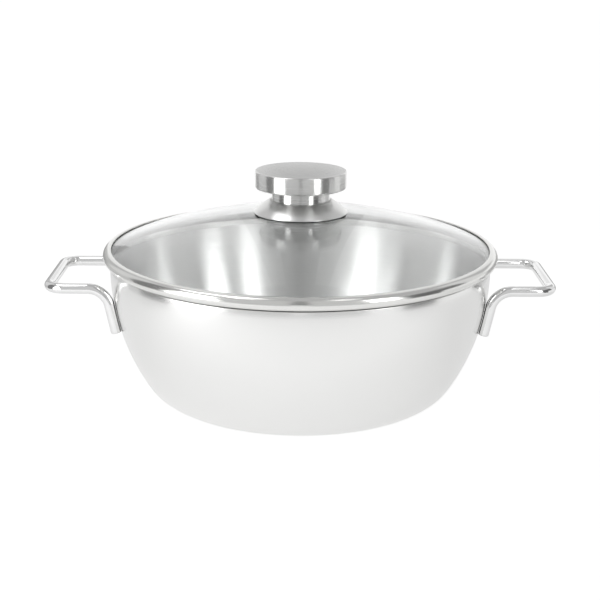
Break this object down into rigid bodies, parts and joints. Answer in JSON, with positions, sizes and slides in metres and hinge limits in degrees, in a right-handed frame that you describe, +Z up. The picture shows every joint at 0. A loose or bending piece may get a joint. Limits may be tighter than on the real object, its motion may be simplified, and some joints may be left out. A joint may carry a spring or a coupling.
{
  "type": "deep two-handled pan with glass lid",
  "caption": "Deep round-sided stainless steel pan with bent-rod loop handles and a steel-banded domed glass lid that lifts off by a turned disc knob.",
  "frame": {"origin": "centre of the flat base, on the surface that the pan stands on", "axes": "+Z up along the axis of the pan, +X towards the right handle, +Y away from the viewer"},
  "size_m": [0.378, 0.296, 0.1714],
  "materials": {
    "satin_steel": "fine satin stainless steel, pale and soft",
    "core_aluminium": "bare rolled aluminium, seen only at the rim's cut edge",
    "brushed_liner": "stainless steel brushed round the axis",
    "polished_rod": "mirror-polished stainless steel rod",
    "band_steel": "polished stainless steel strip",
    "tempered_glass": "clear tempered soda-lime glass",
    "knob_steel": "turned and polished stainless steel",
    "silicone": "matt dark silicone",
    "fastener_steel": "plain stainless steel"
  },
  "bodies": {
    "pan": {"outer_skin": "satin_steel", "aluminium_core": "core_aluminium", "cooking_liner": "brushed_liner", "right_handle": "polished_rod", "left_handle": "polished_rod"},
    "lid_centre": {"knob_screw": "fastener_steel"},
    "lid": {"lid_band": "band_steel", "lid_glass": "tempered_glass", "skirt_gasket": "silicone", "knob_skirt": "knob_steel", "knob_neck": "knob_steel", "knob_underside": "knob_steel", "knob_cap": "knob_steel", "knob_boss": "fastener_steel", "glass_grommet": "silicone", "screw_washer": "fastener_steel"}
  },
  "joints": [
    {"name": "lid_lift", "type": "slide", "parent": "pan", "child": "lid_centre", "axis": [0, 0, 1], "range_m": [0, 0.16]},
    {"name": "lid_turn", "type": "hinge", "parent": "lid_centre", "child": "lid", "pos_m": [0, 0, 0.14], "axis": [0, 0, 1], "continuous": true}
  ]
}
